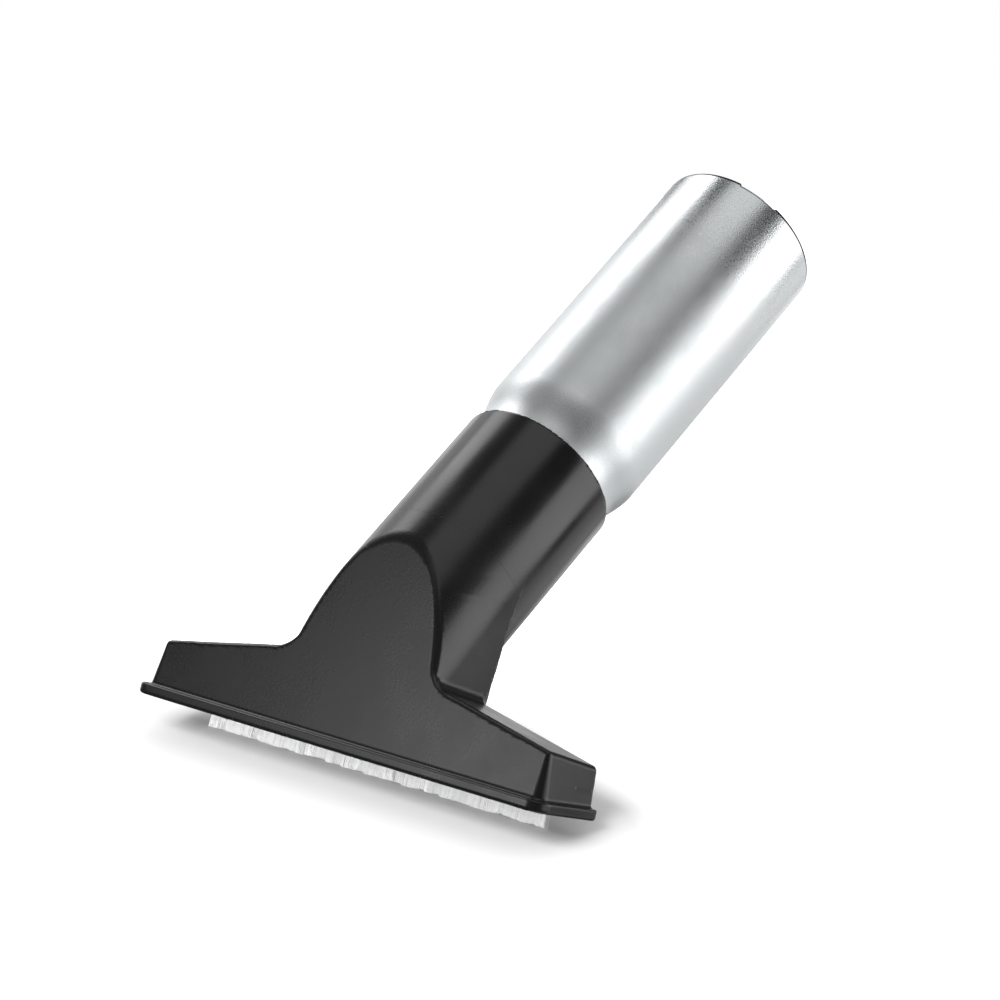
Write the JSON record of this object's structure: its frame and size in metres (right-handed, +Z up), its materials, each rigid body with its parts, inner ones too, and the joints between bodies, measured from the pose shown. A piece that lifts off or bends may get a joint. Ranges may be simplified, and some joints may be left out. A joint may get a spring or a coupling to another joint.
{
  "type": "vacuum surface brush",
  "caption": "Flat surface brush for a suction hose: black moulded nozzle with white bristles along the mouth, on a swaged steel connector sleeve.",
  "frame": {"origin": "centre of the sleeve's open end, on the tube's axis", "axes": "+X along the mouth's width, +Y to the back, the side the tube leans to, +Z up from the mouth plane; the tube's axis lies in the YZ plane, 40 degrees from +Z"},
  "size_m": [0.1248, 0.128, 0.1612],
  "materials": {
    "sleeve_steel": "satin zinc plate with a fine grain",
    "nozzle_plastic": "satin with a fine moulded texture",
    "rail_plastic": "plain moulded",
    "bristle_nylon": "white nylon filament"
  },
  "bodies": {
    "root": {"connector_sleeve": "sleeve_steel", "nozzle_body": "nozzle_plastic", "strip_rail": "rail_plastic", "bristle_row": "bristle_nylon"}
  },
  "joints": []
}
